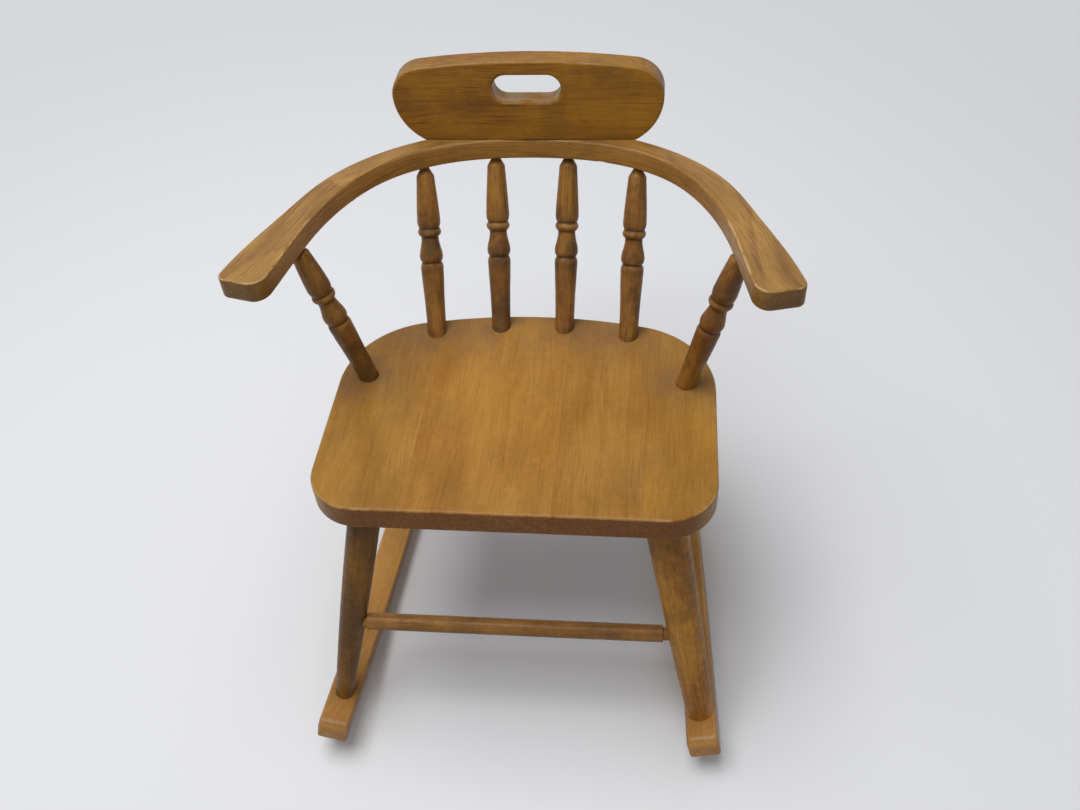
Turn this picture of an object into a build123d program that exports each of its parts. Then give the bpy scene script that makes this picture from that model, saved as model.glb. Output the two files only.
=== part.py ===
from build123d import *
import os
from math import asin, cos, degrees, radians, sin, sqrt, tan

# A child's rocking chair with a bent arm bow, turned spindles and a crest board.
# Millimetres. The floor is z = 0 and the chair faces -Y. Left is -X, as seen from the front.
# The origin is on the floor, midway between the rockers and between their ends.

# The seat and the bow lie on parallel planes that fall towards the back
PITCH = 2.0

# Seat: four boards glued edge to edge. Heights are those of the planes at y = 0
SEAT_HEIGHT = 300.8
SEAT_WIDTH = 404.0
SEAT_FRONT_Y = -178.0
SEAT_BACK_Y = 110.5
SEAT_BACK_CROWN = 37.5
SEAT_FRONT_CORNER = 51.0
SEAT_BACK_CORNER = 100.0
SEAT_THICKNESS = 29.0
SEAT_EASE = 3.0
BOARD_JOINTS = (-102.0, 43.0, 130.0)

# Bow: one bent rail, square at the back and wide and flat at the hand rests
BOW_RISE = 188.5
BOW_THICKNESS = 23.0
BOW_SPAN = 542.0
BOW_BACK_Y = 181.5
BOW_BACK_WIDTH = 24.0
BOW_TIP_Y = -66.0
BOW_TIP_SKEW = 11.0
BOW_TIP_WIDTH = 46.0
BOW_TIP_INNER_CORNER = 15.0
BOW_TIP_OUTER_CORNER = 9.0
BOW_TIP_INNER_RUN = (0.2, -1.0)
BOW_TIP_OUTER_RUN = (0.25, -1.0)
BOW_EASE = 2.5

# Plan of the bow's two edges. Beside the crest's foot: x, and how far forward of the back.
# Along the arm: how far in from the outermost point, and y
BOW_INNER_BACK = (106.0, 18.0)
BOW_OUTER_BACK = (114.0, 23.5)
BOW_INNER_ARM = ((121.0, 135.0), (91.0, 95.0), (71.0, 48.0), (58.0, -6.0))
BOW_OUTER_ARM = ((96.0, 142.0), (65.0, 105.0), (39.0, 50.0), (14.0, -10.0))

# Crest board, standing on the bow, with a hand slot
CREST_THICKNESS = 24.0
CREST_HEIGHT = 88.5
CREST_FOOT = 226.0
CREST_WIDTH = 280.0
CREST_WIDEST = 49.0
CREST_CAP_RADIUS = 33.0
CREST_EASE = 2.5
SLOT_LENGTH = 70.0
SLOT_WIDTH = 29.0
SLOT_HEIGHT = 58.0
SLOT_EASE = 4.0
CREST_DOWEL_DIAMETER = 9.5
CREST_DOWEL_IN_BOW = 12.0
CREST_DOWEL_IN_CREST = 22.0
CREST_DOWEL_SPACING = 52.0
CREST_DOWEL_SETBACK = 10.5

# Spindles: one turning, whose upper taper is as long as the spindle needs
SPINDLE_FOOT_DIAMETER = 20.6
SPINDLE_SHAFT_DIAMETER = 24.4
SPINDLE_VASE_DIAMETER = 25.3
SPINDLE_WAIST_DIAMETER = 18.4
SPINDLE_TAPER_DIAMETER = 25.0
SPINDLE_SHOULDER_DIAMETER = 19.0
SPINDLE_NECK_DIAMETER = 9.6
SPINDLE_SHAFT_HOLLOW = 0.3
SPINDLE_LIP_SET_IN = 0.3
SPINDLE_BEAD_STEP = 0.6
SPINDLE_GROOVE_DEPTH = 1.6
SPINDLE_GROOVE_HEIGHT = 79.5
SPINDLE_VASE_HEIGHT = 85.5
SPINDLE_WAIST_HEIGHT = 106.0
SPINDLE_BEAD_HEIGHT = 113.0
SPINDLE_BEAD_WIDTH = 7.7
SPINDLE_TAPER_HEIGHT = 125.0
SPINDLE_CONE_LENGTH = 8.0
SPINDLE_NECK_LENGTH = 5.5
ARM_SPINDLE_CONE_LENGTH = 4.5
ARM_SPINDLE_NECK_LENGTH = 1.6
SPINDLE_IN_SEAT = 16.0
SPINDLE_IN_BOW = 6.5

# Where spindle axes cross the seat's top and the bow's underside. For a foot: x, and how far
# forward of the seat's back edge. For a head: x, and how far behind the bow's inner back edge
INNER_SPINDLE_FOOT = (35.7, 18.3)
INNER_SPINDLE_HEAD = (39.5, 11.0)
OUTER_SPINDLE_FOOT = (107.4, 30.0)
OUTER_SPINDLE_HEAD = (114.5, -9.5)
ARM_SPINDLE_SEAT_INSET = 31.4
ARM_SPINDLE_FOOT_Y = 6.8
ARM_SPINDLE_BOW_INSET = 55.0
ARM_SPINDLE_HEAD_Y = 19.5

# Rockers: flat arcs, standing on edge and leaning in with the legs, closer together at the back.
# The gauge is between the middles of their tops, and the right one's front end is cut back
ROCKER_RADIUS = 1500.0
ROCKER_LENGTH = 575.0
ROCKER_WIDTH = 33.0
ROCKER_DEPTH = 26.0
ROCKER_GAUGE = 362.2
ROCKER_TOE = 4.4
ROCKER_LEAN = 12.0
ROCKER_LOW = -1.5
ROCKER_NOSE = 10.5
ROCKER_HEEL = 5.0
ROCKER_EASE = 3.5
RIGHT_ROCKER_FRONT_CUT = 7.0

# Legs: round and tapered, with diameters at the foot, at two heights between, and at the seat.
# Their feet are placed along the rockers
LEG_HEIGHTS = (0.17, 0.52)
FRONT_LEFT_LEG = (18.9, 23.5, 30.5, 33.7)
FRONT_RIGHT_LEG = (29.0, 33.0, 38.5, 44.0)
REAR_LEG = (20.0, 25.0, 31.0, 34.0)
FRONT_LEG_SEAT_INSET = 53.5
FRONT_LEG_SETBACK = 43.0
FRONT_LEFT_FOOT = -237.7
FRONT_RIGHT_FOOT = -234.7
REAR_LEG_SEAT_INSET = 62.0
REAR_LEG_SETBACK = 56.0
REAR_FOOT = 155.5
LEG_TENON_DIAMETER = 20.0
LEG_IN_SEAT = 18.0
FOOT_TENON_DIAMETER = 13.0
FOOT_IN_ROCKER = 17.0

# Stretchers: plain rungs with a thinner tenon at each end
STRETCHER_DIAMETER = 18.0
STRETCHER_TENON_DIAMETER = 13.5
STRETCHER_CHAMFER = 1.0
STRETCHER_IN_LEG = 14.0
STRETCHER_HEIGHT = 135.0
STRETCHER_LEFT_SHY = 2.6
FRONT_STRETCHER_SHY = 5.5
REAR_STRETCHER_SHY = 2.1

# Clearances: round a tenon in its socket, past its end, and between faces that meet
SOCKET_CLEARANCE = 0.1
SOCKET_END_GAP = 0.5
JOINT_GAP = 0.05

RIGHT = 1
LEFT = -1


def pitched_plane(height):
    """The plane at this height at y = 0, falling towards the back."""
    return Plane(
        origin=(0, 0, height),
        x_dir=(1, 0, 0),
        z_dir=(0, sin(radians(PITCH)), cos(radians(PITCH))),
    )


SEAT_TOP = pitched_plane(SEAT_HEIGHT)
SEAT_UNDER = SEAT_TOP.offset(-SEAT_THICKNESS)
BOW_TOP = pitched_plane(SEAT_HEIGHT + BOW_RISE)
BOW_UNDER = BOW_TOP.offset(-BOW_THICKNESS)


def on_plane(plane, x, y):
    """The point of a pitched plane above this x and y."""
    drop = (y - plane.origin.Y) * tan(radians(PITCH))
    return Vector(x, y, plane.origin.Z - drop)


def axis_plane(start, end):
    """A plane through both points: its origin is at the start and its Y runs to the end."""
    along = (end - start).normalized()
    across = along.cross(Vector(0, 0, 1)).normalized()
    return Plane(origin=start, x_dir=across, z_dir=across.cross(along))


def bore(start, towards, diameter, depth):
    """Cut a round socket from a point towards another one, open behind its mouth."""
    along = (towards - start).normalized()
    mouth = Plane(origin=start - along * diameter, z_dir=along)
    with Locations(mouth):
        Cylinder(
            diameter / 2 + SOCKET_CLEARANCE,
            diameter + depth + SOCKET_END_GAP,
            align=(Align.CENTER, Align.CENTER, Align.MIN),
            mode=Mode.SUBTRACT,
        )


# Spindle axes, from the seat's top to the bow's underside
def spindle_ends(foot_x, foot_y, head_x, head_y):
    return on_plane(SEAT_TOP, foot_x, foot_y), on_plane(BOW_UNDER, head_x, head_y)


def back_spindle_ends(foot, head, side):
    foot_y = SEAT_BACK_Y - foot[1]
    head_y = BOW_BACK_Y + head[1]
    return spindle_ends(side * foot[0], foot_y, side * head[0], head_y)


def arm_spindle_ends(side):
    foot_x = SEAT_WIDTH / 2 - ARM_SPINDLE_SEAT_INSET
    head_x = BOW_SPAN / 2 - ARM_SPINDLE_BOW_INSET
    return spindle_ends(side * foot_x, ARM_SPINDLE_FOOT_Y, side * head_x, ARM_SPINDLE_HEAD_Y)


SPINDLES = {
    "back_spindle_1": back_spindle_ends(OUTER_SPINDLE_FOOT, OUTER_SPINDLE_HEAD, LEFT),
    "back_spindle_2": back_spindle_ends(INNER_SPINDLE_FOOT, INNER_SPINDLE_HEAD, LEFT),
    "back_spindle_3": back_spindle_ends(INNER_SPINDLE_FOOT, INNER_SPINDLE_HEAD, RIGHT),
    "back_spindle_4": back_spindle_ends(OUTER_SPINDLE_FOOT, OUTER_SPINDLE_HEAD, RIGHT),
    "arm_spindle_left": arm_spindle_ends(LEFT),
    "arm_spindle_right": arm_spindle_ends(RIGHT),
}


# Rocker geometry: distances run along the rocker from its middle, towards the back
def rocker_plane(side):
    """The leaning middle plane of a rocker, raised so that its inner lower edge meets the floor."""
    toe = radians(ROCKER_TOE)
    lean = radians(ROCKER_LEAN)
    lift = (ROCKER_WIDTH / 2 - ROCKER_EASE) * sin(lean) + ROCKER_EASE * (1 - cos(lean))
    along = Vector(-side * sin(toe), cos(toe), 0)
    inward = Vector(-side * cos(toe), -sin(toe), 0)
    upward = Vector(0, 0, 1) * cos(lean) + inward * sin(lean)
    return Plane(
        origin=Vector(side * ROCKER_GAUGE / 2, 0, lift) - inward * (ROCKER_DEPTH * sin(lean)),
        x_dir=along,
        z_dir=along.cross(upward),
    )


def rocker_top_point(side, along):
    """The point of the rocker's top, on its middle line, this far along it."""
    span = sqrt((ROCKER_RADIUS - ROCKER_DEPTH) ** 2 - (along - ROCKER_LOW) ** 2)
    return rocker_plane(side).from_local_coords(Vector(along, ROCKER_RADIUS - span, 0))


# Leg axes, from the rocker's top to the seat's underside
def leg_ends(side, inset, y, foot):
    top = on_plane(SEAT_UNDER, side * (SEAT_WIDTH / 2 - inset), y)
    return rocker_top_point(side, foot), top


FRONT_LEG_Y = SEAT_FRONT_Y + FRONT_LEG_SETBACK
REAR_LEG_Y = SEAT_BACK_Y - REAR_LEG_SETBACK
LEGS = {
    "front_leg_left": leg_ends(LEFT, FRONT_LEG_SEAT_INSET, FRONT_LEG_Y, FRONT_LEFT_FOOT),
    "front_leg_right": leg_ends(RIGHT, FRONT_LEG_SEAT_INSET, FRONT_LEG_Y, FRONT_RIGHT_FOOT),
    "rear_leg_left": leg_ends(LEFT, REAR_LEG_SEAT_INSET, REAR_LEG_Y, REAR_FOOT),
    "rear_leg_right": leg_ends(RIGHT, REAR_LEG_SEAT_INSET, REAR_LEG_Y, REAR_FOOT),
}
LEG_DIAMETERS = {
    "front_leg_left": FRONT_LEFT_LEG,
    "front_leg_right": FRONT_RIGHT_LEG,
    "rear_leg_left": REAR_LEG,
    "rear_leg_right": REAR_LEG,
}


def leg_point(name, height):
    """The point of a leg's axis at this height above the floor."""
    foot, top = LEGS[name]
    return foot + (top - foot) * ((height - foot.Z) / (top.Z - foot.Z))


def leg_radius(name, height):
    """The leg's radius where its axis is at this height, by straight lines between diameters."""
    foot, top = LEGS[name]
    share = (height - foot.Z) / (top.Z - foot.Z)
    places = (0.0, *LEG_HEIGHTS, 1.0)
    sizes = LEG_DIAMETERS[name]
    for low, high, start, end in zip(places, places[1:], sizes, sizes[1:]):
        if share <= high:
            return (start + (end - start) * (share - low) / (high - low)) / 2
    return sizes[-1] / 2


# Stretcher shoulders: they stand a little shy of the middle of the legs, which lean
def stretcher_ends(left_leg, right_leg, shy):
    left = leg_point(left_leg, STRETCHER_HEIGHT)
    right = leg_point(right_leg, STRETCHER_HEIGHT)
    across = Vector(1, 0, 0)
    left_shoulder = left + across * (leg_radius(left_leg, STRETCHER_HEIGHT) + STRETCHER_LEFT_SHY)
    right_shoulder = right - across * (leg_radius(right_leg, STRETCHER_HEIGHT) + shy)
    return left_shoulder, right_shoulder


STRETCHERS = {
    "front_stretcher": ("front_leg_left", "front_leg_right", FRONT_STRETCHER_SHY),
    "rear_stretcher": ("rear_leg_left", "rear_leg_right", REAR_STRETCHER_SHY),
}

# The crest's front face is flush with the bow's inner edge, and dowels stand along the normal
CREST_FRONT = on_plane(BOW_TOP, 0, BOW_BACK_Y)
DOWEL_MOUTHS = [
    CREST_FRONT + BOW_TOP.y_dir * CREST_DOWEL_SETBACK + Vector(x, 0, 0)
    for x in (-CREST_DOWEL_SPACING, 0, CREST_DOWEL_SPACING)
]


def seat_board(name, left, right):
    """One board of the seat: the strip of the whole eased slab between two joints."""
    half = SEAT_WIDTH / 2
    side_back_y = SEAT_BACK_Y - SEAT_BACK_CROWN
    with BuildPart() as board:
        with BuildSketch(SEAT_TOP) as outline:
            with BuildLine():
                front = Line((-half, SEAT_FRONT_Y), (half, SEAT_FRONT_Y))
                side = Line(front @ 1, (half, side_back_y))
                back = ThreePointArc(side @ 1, (0, SEAT_BACK_Y), (-half, side_back_y))
                Line(back @ 1, front @ 0)
            make_face()
            fillet(outline.vertices().group_by(Axis.Y)[0], radius=SEAT_FRONT_CORNER)
            fillet(outline.vertices().group_by(Axis.Y)[-1], radius=SEAT_BACK_CORNER)
        extrude(amount=-SEAT_THICKNESS)
        faces = board.faces().sort_by(Axis.Z)
        fillet(faces[0].edges() + faces[-1].edges(), radius=SEAT_EASE)
        with BuildSketch(SEAT_TOP):
            with Locations(((left + right) / 2, 0)):
                Rectangle(right - left, 2 * (SEAT_BACK_Y - SEAT_FRONT_Y))
        extrude(amount=2 * SEAT_THICKNESS, both=True, mode=Mode.INTERSECT)
        for foot, head in SPINDLES.values():
            bore(foot, foot + foot - head, SPINDLE_FOOT_DIAMETER, SPINDLE_IN_SEAT)
        for foot, top in LEGS.values():
            bore(top, top + top - foot, LEG_TENON_DIAMETER, LEG_IN_SEAT)
    board.part.label = name
    return board.part


def spindle(name):
    """A turned spindle: foot in the seat, shaft, vase, bead, long taper and neck in the bow."""
    foot, head = SPINDLES[name]
    length = (head - foot).length
    under_arm = name.startswith("arm")
    cone_length = ARM_SPINDLE_CONE_LENGTH if under_arm else SPINDLE_CONE_LENGTH
    neck_length = ARM_SPINDLE_NECK_LENGTH if under_arm else SPINDLE_NECK_LENGTH
    shoulder_height = length - neck_length - cone_length
    foot_r = SPINDLE_FOOT_DIAMETER / 2
    shaft_r = SPINDLE_SHAFT_DIAMETER / 2
    vase_r = SPINDLE_VASE_DIAMETER / 2
    waist_r = SPINDLE_WAIST_DIAMETER / 2
    taper_r = SPINDLE_TAPER_DIAMETER / 2
    shoulder_r = SPINDLE_SHOULDER_DIAMETER / 2
    neck_r = SPINDLE_NECK_DIAMETER / 2
    groove_r = shaft_r - SPINDLE_GROOVE_DEPTH
    bead_low = SPINDLE_BEAD_HEIGHT - SPINDLE_BEAD_WIDTH / 2
    bead_high = SPINDLE_BEAD_HEIGHT + SPINDLE_BEAD_WIDTH / 2
    with BuildPart() as turned:
        with BuildSketch(axis_plane(foot, head)):
            with BuildLine():
                Line((0, -SPINDLE_IN_SEAT), (foot_r, -SPINDLE_IN_SEAT))
                Line((foot_r, -SPINDLE_IN_SEAT), (foot_r, 0))
                shaft = Spline(
                    (foot_r, 0),
                    ((foot_r + shaft_r) / 2 - SPINDLE_SHAFT_HOLLOW, SPINDLE_GROOVE_HEIGHT / 2),
                    (shaft_r, SPINDLE_GROOVE_HEIGHT - SPINDLE_GROOVE_DEPTH),
                )
                cut = Line(shaft @ 1, (groove_r, SPINDLE_GROOVE_HEIGHT))
                lip_r = vase_r - SPINDLE_LIP_SET_IN
                lip = Line(cut @ 1, (lip_r, SPINDLE_GROOVE_HEIGHT + lip_r - groove_r))
                vase = Spline(
                    lip @ 1,
                    (vase_r, SPINDLE_VASE_HEIGHT),
                    ((vase_r + waist_r) / 2, (SPINDLE_VASE_HEIGHT + SPINDLE_WAIST_HEIGHT) / 2),
                    (waist_r, SPINDLE_WAIST_HEIGHT),
                )
                step = Line(vase @ 1, (waist_r + SPINDLE_BEAD_STEP, bead_low))
                bead = ThreePointArc(
                    step @ 1,
                    (vase_r, SPINDLE_BEAD_HEIGHT),
                    (groove_r, bead_high),
                )
                swell = Spline(
                    bead @ 1,
                    (taper_r, SPINDLE_TAPER_HEIGHT),
                    tangents=((1, 1), (0, 1)),
                )
                taper = Line(swell @ 1, (shoulder_r, shoulder_height))
                cone = Line(taper @ 1, (neck_r, shoulder_height + cone_length))
                neck = Line(cone @ 1, (neck_r, length + SPINDLE_IN_BOW))
                end = Line(neck @ 1, (0, length + SPINDLE_IN_BOW))
                Line(end @ 1, (0, -SPINDLE_IN_SEAT))
            make_face()
        revolve(axis=Axis(foot, head - foot))
    turned.part.label = name
    return turned.part


def leg(name):
    """A tapered leg, cut to the seat and the rocker at its ends, with a tenon in each."""
    foot, top = LEGS[name]
    length = (top - foot).length
    side = RIGHT if foot.X > 0 else LEFT
    radii = [diameter / 2 for diameter in LEG_DIAMETERS[name]]
    overrun = max(LEG_DIAMETERS[name])
    end_slope = (radii[3] - radii[2]) / (length * (1 - LEG_HEIGHTS[1]))
    axis = Axis(foot, top - foot)
    with BuildPart() as turned:
        with BuildSketch(axis_plane(foot, top)):
            with BuildLine():
                start = Line((0, -overrun), (radii[0], -overrun))
                stub = Line(start @ 1, (radii[0], 0))
                taper = Spline(
                    stub @ 1,
                    (radii[1], length * LEG_HEIGHTS[0]),
                    (radii[2], length * LEG_HEIGHTS[1]),
                    (radii[3], length),
                )
                head = Line(taper @ 1, (radii[3] + overrun * end_slope, length + overrun))
                end = Line(head @ 1, (0, length + overrun))
                Line(end @ 1, start @ 0)
            make_face()
        revolve(axis=axis)
        split(bisect_by=SEAT_UNDER.offset(-JOINT_GAP), keep=Keep.BOTTOM)
        with BuildSketch(rocker_plane(side)):
            with Locations((ROCKER_LOW, ROCKER_RADIUS)):
                Circle(ROCKER_RADIUS - ROCKER_DEPTH - JOINT_GAP)
        extrude(amount=3 * overrun, both=True, mode=Mode.INTERSECT)
        with Locations(Plane(origin=top - axis.direction * overrun, z_dir=axis.direction)):
            Cylinder(
                LEG_TENON_DIAMETER / 2,
                overrun + LEG_IN_SEAT,
                align=(Align.CENTER, Align.CENTER, Align.MIN),
            )
        root = foot + axis.direction * FOOT_TENON_DIAMETER
        with Locations(Plane(origin=root, z_dir=-axis.direction)):
            Cylinder(
                FOOT_TENON_DIAMETER / 2,
                FOOT_TENON_DIAMETER + FOOT_IN_ROCKER,
                align=(Align.CENTER, Align.CENTER, Align.MIN),
            )
        for left_leg, right_leg, shy in STRETCHERS.values():
            left_end, right_end = stretcher_ends(left_leg, right_leg, shy)
            along = (right_end - left_end).normalized()
            if name == left_leg:
                surface = left_end - along * STRETCHER_LEFT_SHY
                bore(surface, surface - along, STRETCHER_TENON_DIAMETER, STRETCHER_IN_LEG)
            if name == right_leg:
                surface = right_end + along * shy
                bore(surface, surface + along, STRETCHER_TENON_DIAMETER, STRETCHER_IN_LEG)
    turned.part.label = name
    return turned.part


def stretcher(name):
    """A round rung between two legs, thinner where its tenons enter them."""
    left_leg, right_leg, shy = STRETCHERS[name]
    left, right = stretcher_ends(left_leg, right_leg, shy)
    body = (right - left).length
    with BuildPart() as rung:
        with BuildSketch(axis_plane(left, right)):
            with BuildLine():
                body_r = STRETCHER_DIAMETER / 2
                tenon_r = STRETCHER_TENON_DIAMETER / 2
                Polyline(
                    (0, -STRETCHER_LEFT_SHY - STRETCHER_IN_LEG),
                    (tenon_r, -STRETCHER_LEFT_SHY - STRETCHER_IN_LEG),
                    (tenon_r, 0),
                    (body_r - STRETCHER_CHAMFER, 0),
                    (body_r, STRETCHER_CHAMFER),
                    (body_r, body - STRETCHER_CHAMFER),
                    (body_r - STRETCHER_CHAMFER, body),
                    (tenon_r, body),
                    (tenon_r, body + shy + STRETCHER_IN_LEG),
                    (0, body + shy + STRETCHER_IN_LEG),
                    close=True,
                )
            make_face()
        revolve(axis=Axis(left, right - left))
    rung.part.label = name
    return rung.part


def rocker(name, side):
    """A rocker: two concentric arcs with square ends, and a socket for each leg's foot."""
    front_cut = RIGHT_ROCKER_FRONT_CUT if side == RIGHT else 0
    front = degrees(asin((ROCKER_LENGTH / 2 + ROCKER_LOW - front_cut) / ROCKER_RADIUS))
    rear = degrees(asin((ROCKER_LENGTH / 2 - ROCKER_LOW) / ROCKER_RADIUS))
    centre = (ROCKER_LOW, ROCKER_RADIUS)
    with BuildPart() as runner:
        with BuildSketch(rocker_plane(side)) as profile:
            with BuildLine():
                under = CenterArc(centre, ROCKER_RADIUS, -90 - front, front + rear)
                over = CenterArc(centre, ROCKER_RADIUS - ROCKER_DEPTH, -90 - front, front + rear)
                Line(under @ 0, over @ 0)
                Line(under @ 1, over @ 1)
            make_face()
            fillet(profile.vertices().sort_by(Axis.Y)[-2:], radius=ROCKER_NOSE)
            fillet(profile.vertices().sort_by(Axis.Y)[:2], radius=ROCKER_HEEL)
        extrude(amount=ROCKER_WIDTH / 2, both=True)
        sides = runner.faces().filter_by(GeomType.PLANE).sort_by(SortBy.AREA)[-2:]
        fillet(sides.edges(), radius=ROCKER_EASE)
        for foot, top in LEGS.values():
            if foot.X * side > 0:
                bore(foot, foot + foot - top, FOOT_TENON_DIAMETER, FOOT_IN_ROCKER)
    runner.part.label = name
    return runner.part


# Seat boards, with a thin glue line between each two
joints = (-SEAT_WIDTH, *BOARD_JOINTS, SEAT_WIDTH)
seat_boards = [
    seat_board(f"seat_board_{number}", left + JOINT_GAP / 2, right - JOINT_GAP / 2)
    for number, (left, right) in enumerate(zip(joints, joints[1:]), start=1)
]

# Arm bow: half of its plan, mirrored
half_span = BOW_SPAN / 2
bow_outer_y = BOW_BACK_Y + BOW_BACK_WIDTH
tip_inner = (half_span - BOW_TIP_WIDTH, BOW_TIP_Y)
tip_outer = (half_span, BOW_TIP_Y + BOW_TIP_SKEW)
inner_edge = [(0, BOW_BACK_Y), (BOW_INNER_BACK[0], BOW_BACK_Y - BOW_INNER_BACK[1])]
inner_edge += [(half_span - inset, y) for inset, y in BOW_INNER_ARM]
outer_edge = [(0, bow_outer_y), (BOW_OUTER_BACK[0], bow_outer_y - BOW_OUTER_BACK[1])]
outer_edge += [(half_span - inset, y) for inset, y in BOW_OUTER_ARM]
with BuildPart() as arm_bow:
    with BuildSketch(BOW_TOP) as plan:
        with BuildLine():
            outer = Spline(*outer_edge, tip_outer, tangents=((1, 0), BOW_TIP_OUTER_RUN))
            inner = Spline(*inner_edge, tip_inner, tangents=((1, 0), BOW_TIP_INNER_RUN))
            Line(outer @ 1, inner @ 1)
            Line(inner @ 0, outer @ 0)
        make_face()
        for tip, corner in ((tip_inner, BOW_TIP_INNER_CORNER), (tip_outer, BOW_TIP_OUTER_CORNER)):
            fillet(plan.vertices().sort_by_distance(Vector(*tip))[0], radius=corner)
        mirror(about=Plane.YZ)
    extrude(amount=-BOW_THICKNESS)
    bow_faces = arm_bow.faces().sort_by(Axis.Z)
    fillet(bow_faces[0].edges() + bow_faces[-1].edges(), radius=BOW_EASE)
    for foot, head in SPINDLES.values():
        bore(head, head + head - foot, SPINDLE_NECK_DIAMETER, SPINDLE_IN_BOW)
    for mouth in DOWEL_MOUTHS:
        bore(mouth, mouth - BOW_TOP.z_dir, CREST_DOWEL_DIAMETER, CREST_DOWEL_IN_BOW)
arm_bow.part.label = "arm_bow"

# Crest rail: half of its face, mirrored, then the slot
crest_plane = Plane(
    origin=CREST_FRONT + BOW_TOP.z_dir * JOINT_GAP,
    x_dir=(1, 0, 0),
    z_dir=-BOW_TOP.y_dir,
)
half_foot = CREST_FOOT / 2
half_crest = CREST_WIDTH / 2
cap_centre = Vector(half_crest - CREST_CAP_RADIUS, CREST_WIDEST)
cap_rise = CREST_HEIGHT - CREST_WIDEST
crown_radius = (cap_centre.X**2 + cap_rise**2 - CREST_CAP_RADIUS**2) / (cap_rise - CREST_CAP_RADIUS) / 2
crown_centre = Vector(0, CREST_HEIGHT - crown_radius)
crown_end = crown_centre + (cap_centre - crown_centre).normalized() * crown_radius
with BuildPart() as crest_rail:
    with BuildSketch(crest_plane):
        with BuildLine():
            flank = TangentArc((half_crest, CREST_WIDEST), (half_foot, 0), tangent=(0, -1))
            cap = TangentArc((half_crest, CREST_WIDEST), crown_end, tangent=(0, 1))
            crown = TangentArc((0, CREST_HEIGHT), crown_end, tangent=(1, 0))
            middle = Line(crown @ 0, (0, 0))
            Line(middle @ 1, flank @ 1)
        make_face()
        mirror(about=Plane.YZ)
        with Locations((0, SLOT_HEIGHT)):
            SlotOverall(SLOT_LENGTH, SLOT_WIDTH, mode=Mode.SUBTRACT)
    extrude(amount=-CREST_THICKNESS)
    broad_faces = crest_rail.faces().sort_by(Axis(crest_plane.origin, crest_plane.z_dir))
    for face in (broad_faces[0], broad_faces[-1]):
        fillet(face.outer_wire().edges().sort_by(Axis.Z)[1:], radius=CREST_EASE)
        fillet(face.inner_wires()[0].edges(), radius=SLOT_EASE)
    for mouth in DOWEL_MOUTHS:
        bore(mouth, mouth + BOW_TOP.z_dir, CREST_DOWEL_DIAMETER, CREST_DOWEL_IN_CREST)
crest_rail.part.label = "crest_rail"

# Crest dowels, a group of three
with BuildPart() as crest_dowels:
    for mouth in DOWEL_MOUTHS:
        lower_end = mouth - BOW_TOP.z_dir * CREST_DOWEL_IN_BOW
        with Locations(Plane(origin=lower_end, z_dir=BOW_TOP.z_dir)):
            Cylinder(
                CREST_DOWEL_DIAMETER / 2,
                CREST_DOWEL_IN_BOW + CREST_DOWEL_IN_CREST,
                align=(Align.CENTER, Align.CENTER, Align.MIN),
            )
crest_dowels.part.label = "crest_dowels"

pieces = [*seat_boards, arm_bow.part, crest_rail.part, crest_dowels.part]
pieces += [spindle(name) for name in SPINDLES]
pieces += [leg(name) for name in LEGS]
pieces += [stretcher(name) for name in STRETCHERS]
pieces += [rocker("rocker_left", LEFT), rocker("rocker_right", RIGHT)]

os.makedirs("parts", exist_ok=True)
for piece in pieces:
    export_step(piece, f"parts/{piece.label}.step")
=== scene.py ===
import math

import bpy
import numpy as np
from mathutils import Matrix, Vector


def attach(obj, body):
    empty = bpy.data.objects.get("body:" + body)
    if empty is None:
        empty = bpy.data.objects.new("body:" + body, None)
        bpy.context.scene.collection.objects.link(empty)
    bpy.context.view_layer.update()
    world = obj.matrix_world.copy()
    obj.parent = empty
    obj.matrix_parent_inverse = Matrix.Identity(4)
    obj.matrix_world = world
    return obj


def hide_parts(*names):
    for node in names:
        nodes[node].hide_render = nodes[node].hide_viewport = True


# Looks of a child's hoop back rocking chair in stained and varnished maple.
# Metres. The floor is z = 0, the chair faces -Y, and left is -X.
# A grain place is a point in millimetres with z along the wood's grain.

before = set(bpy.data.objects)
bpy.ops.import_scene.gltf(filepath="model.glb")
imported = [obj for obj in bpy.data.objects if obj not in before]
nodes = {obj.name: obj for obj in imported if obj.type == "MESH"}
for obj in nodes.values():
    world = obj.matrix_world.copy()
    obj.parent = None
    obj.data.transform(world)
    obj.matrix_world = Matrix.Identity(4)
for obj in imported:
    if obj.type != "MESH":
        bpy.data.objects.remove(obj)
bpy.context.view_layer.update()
MM = 0.001
BODY = "root"

PITCH = math.radians(2.0)
SEAT_TOP_HEIGHT = 0.3008
BOW_TOP_HEIGHT = 0.4893
BOW_THICKNESS = 0.023
PITCH_UP = Vector((0, math.sin(PITCH), math.cos(PITCH)))


def on_pitched_plane(height, x, y):
    """The point above x and y of the plane that is this high at y = 0 and falls to the back."""
    return Vector((x, y, height - y * math.tan(PITCH)))


def srgb(red, green, blue):
    """A colour as a paint chart gives it, 0 to 255, made linear."""
    parts = [channel / 255 for channel in (red, green, blue)]
    linear = [c / 12.92 if c <= 0.04045 else ((c + 0.055) / 1.055) ** 2.4 for c in parts]
    return (*linear, 1.0)


# ---------------------------------------------------------------- node trees

def add(tree, kind, inputs=None, **settings):
    """A new node with its settings, and its inputs set to values or linked to outputs."""
    made = tree.nodes.new(kind)
    for name, value in settings.items():
        setattr(made, name, value)
    for name, value in (inputs or {}).items():
        if isinstance(value, bpy.types.NodeSocket):
            tree.links.new(value, made.inputs[name])
        else:
            made.inputs[name].default_value = value
    return made


def maths(tree, operation, *values):
    """The result of a Math node."""
    return add(tree, "ShaderNodeMath", dict(enumerate(values)), operation=operation).outputs[0]


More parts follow.
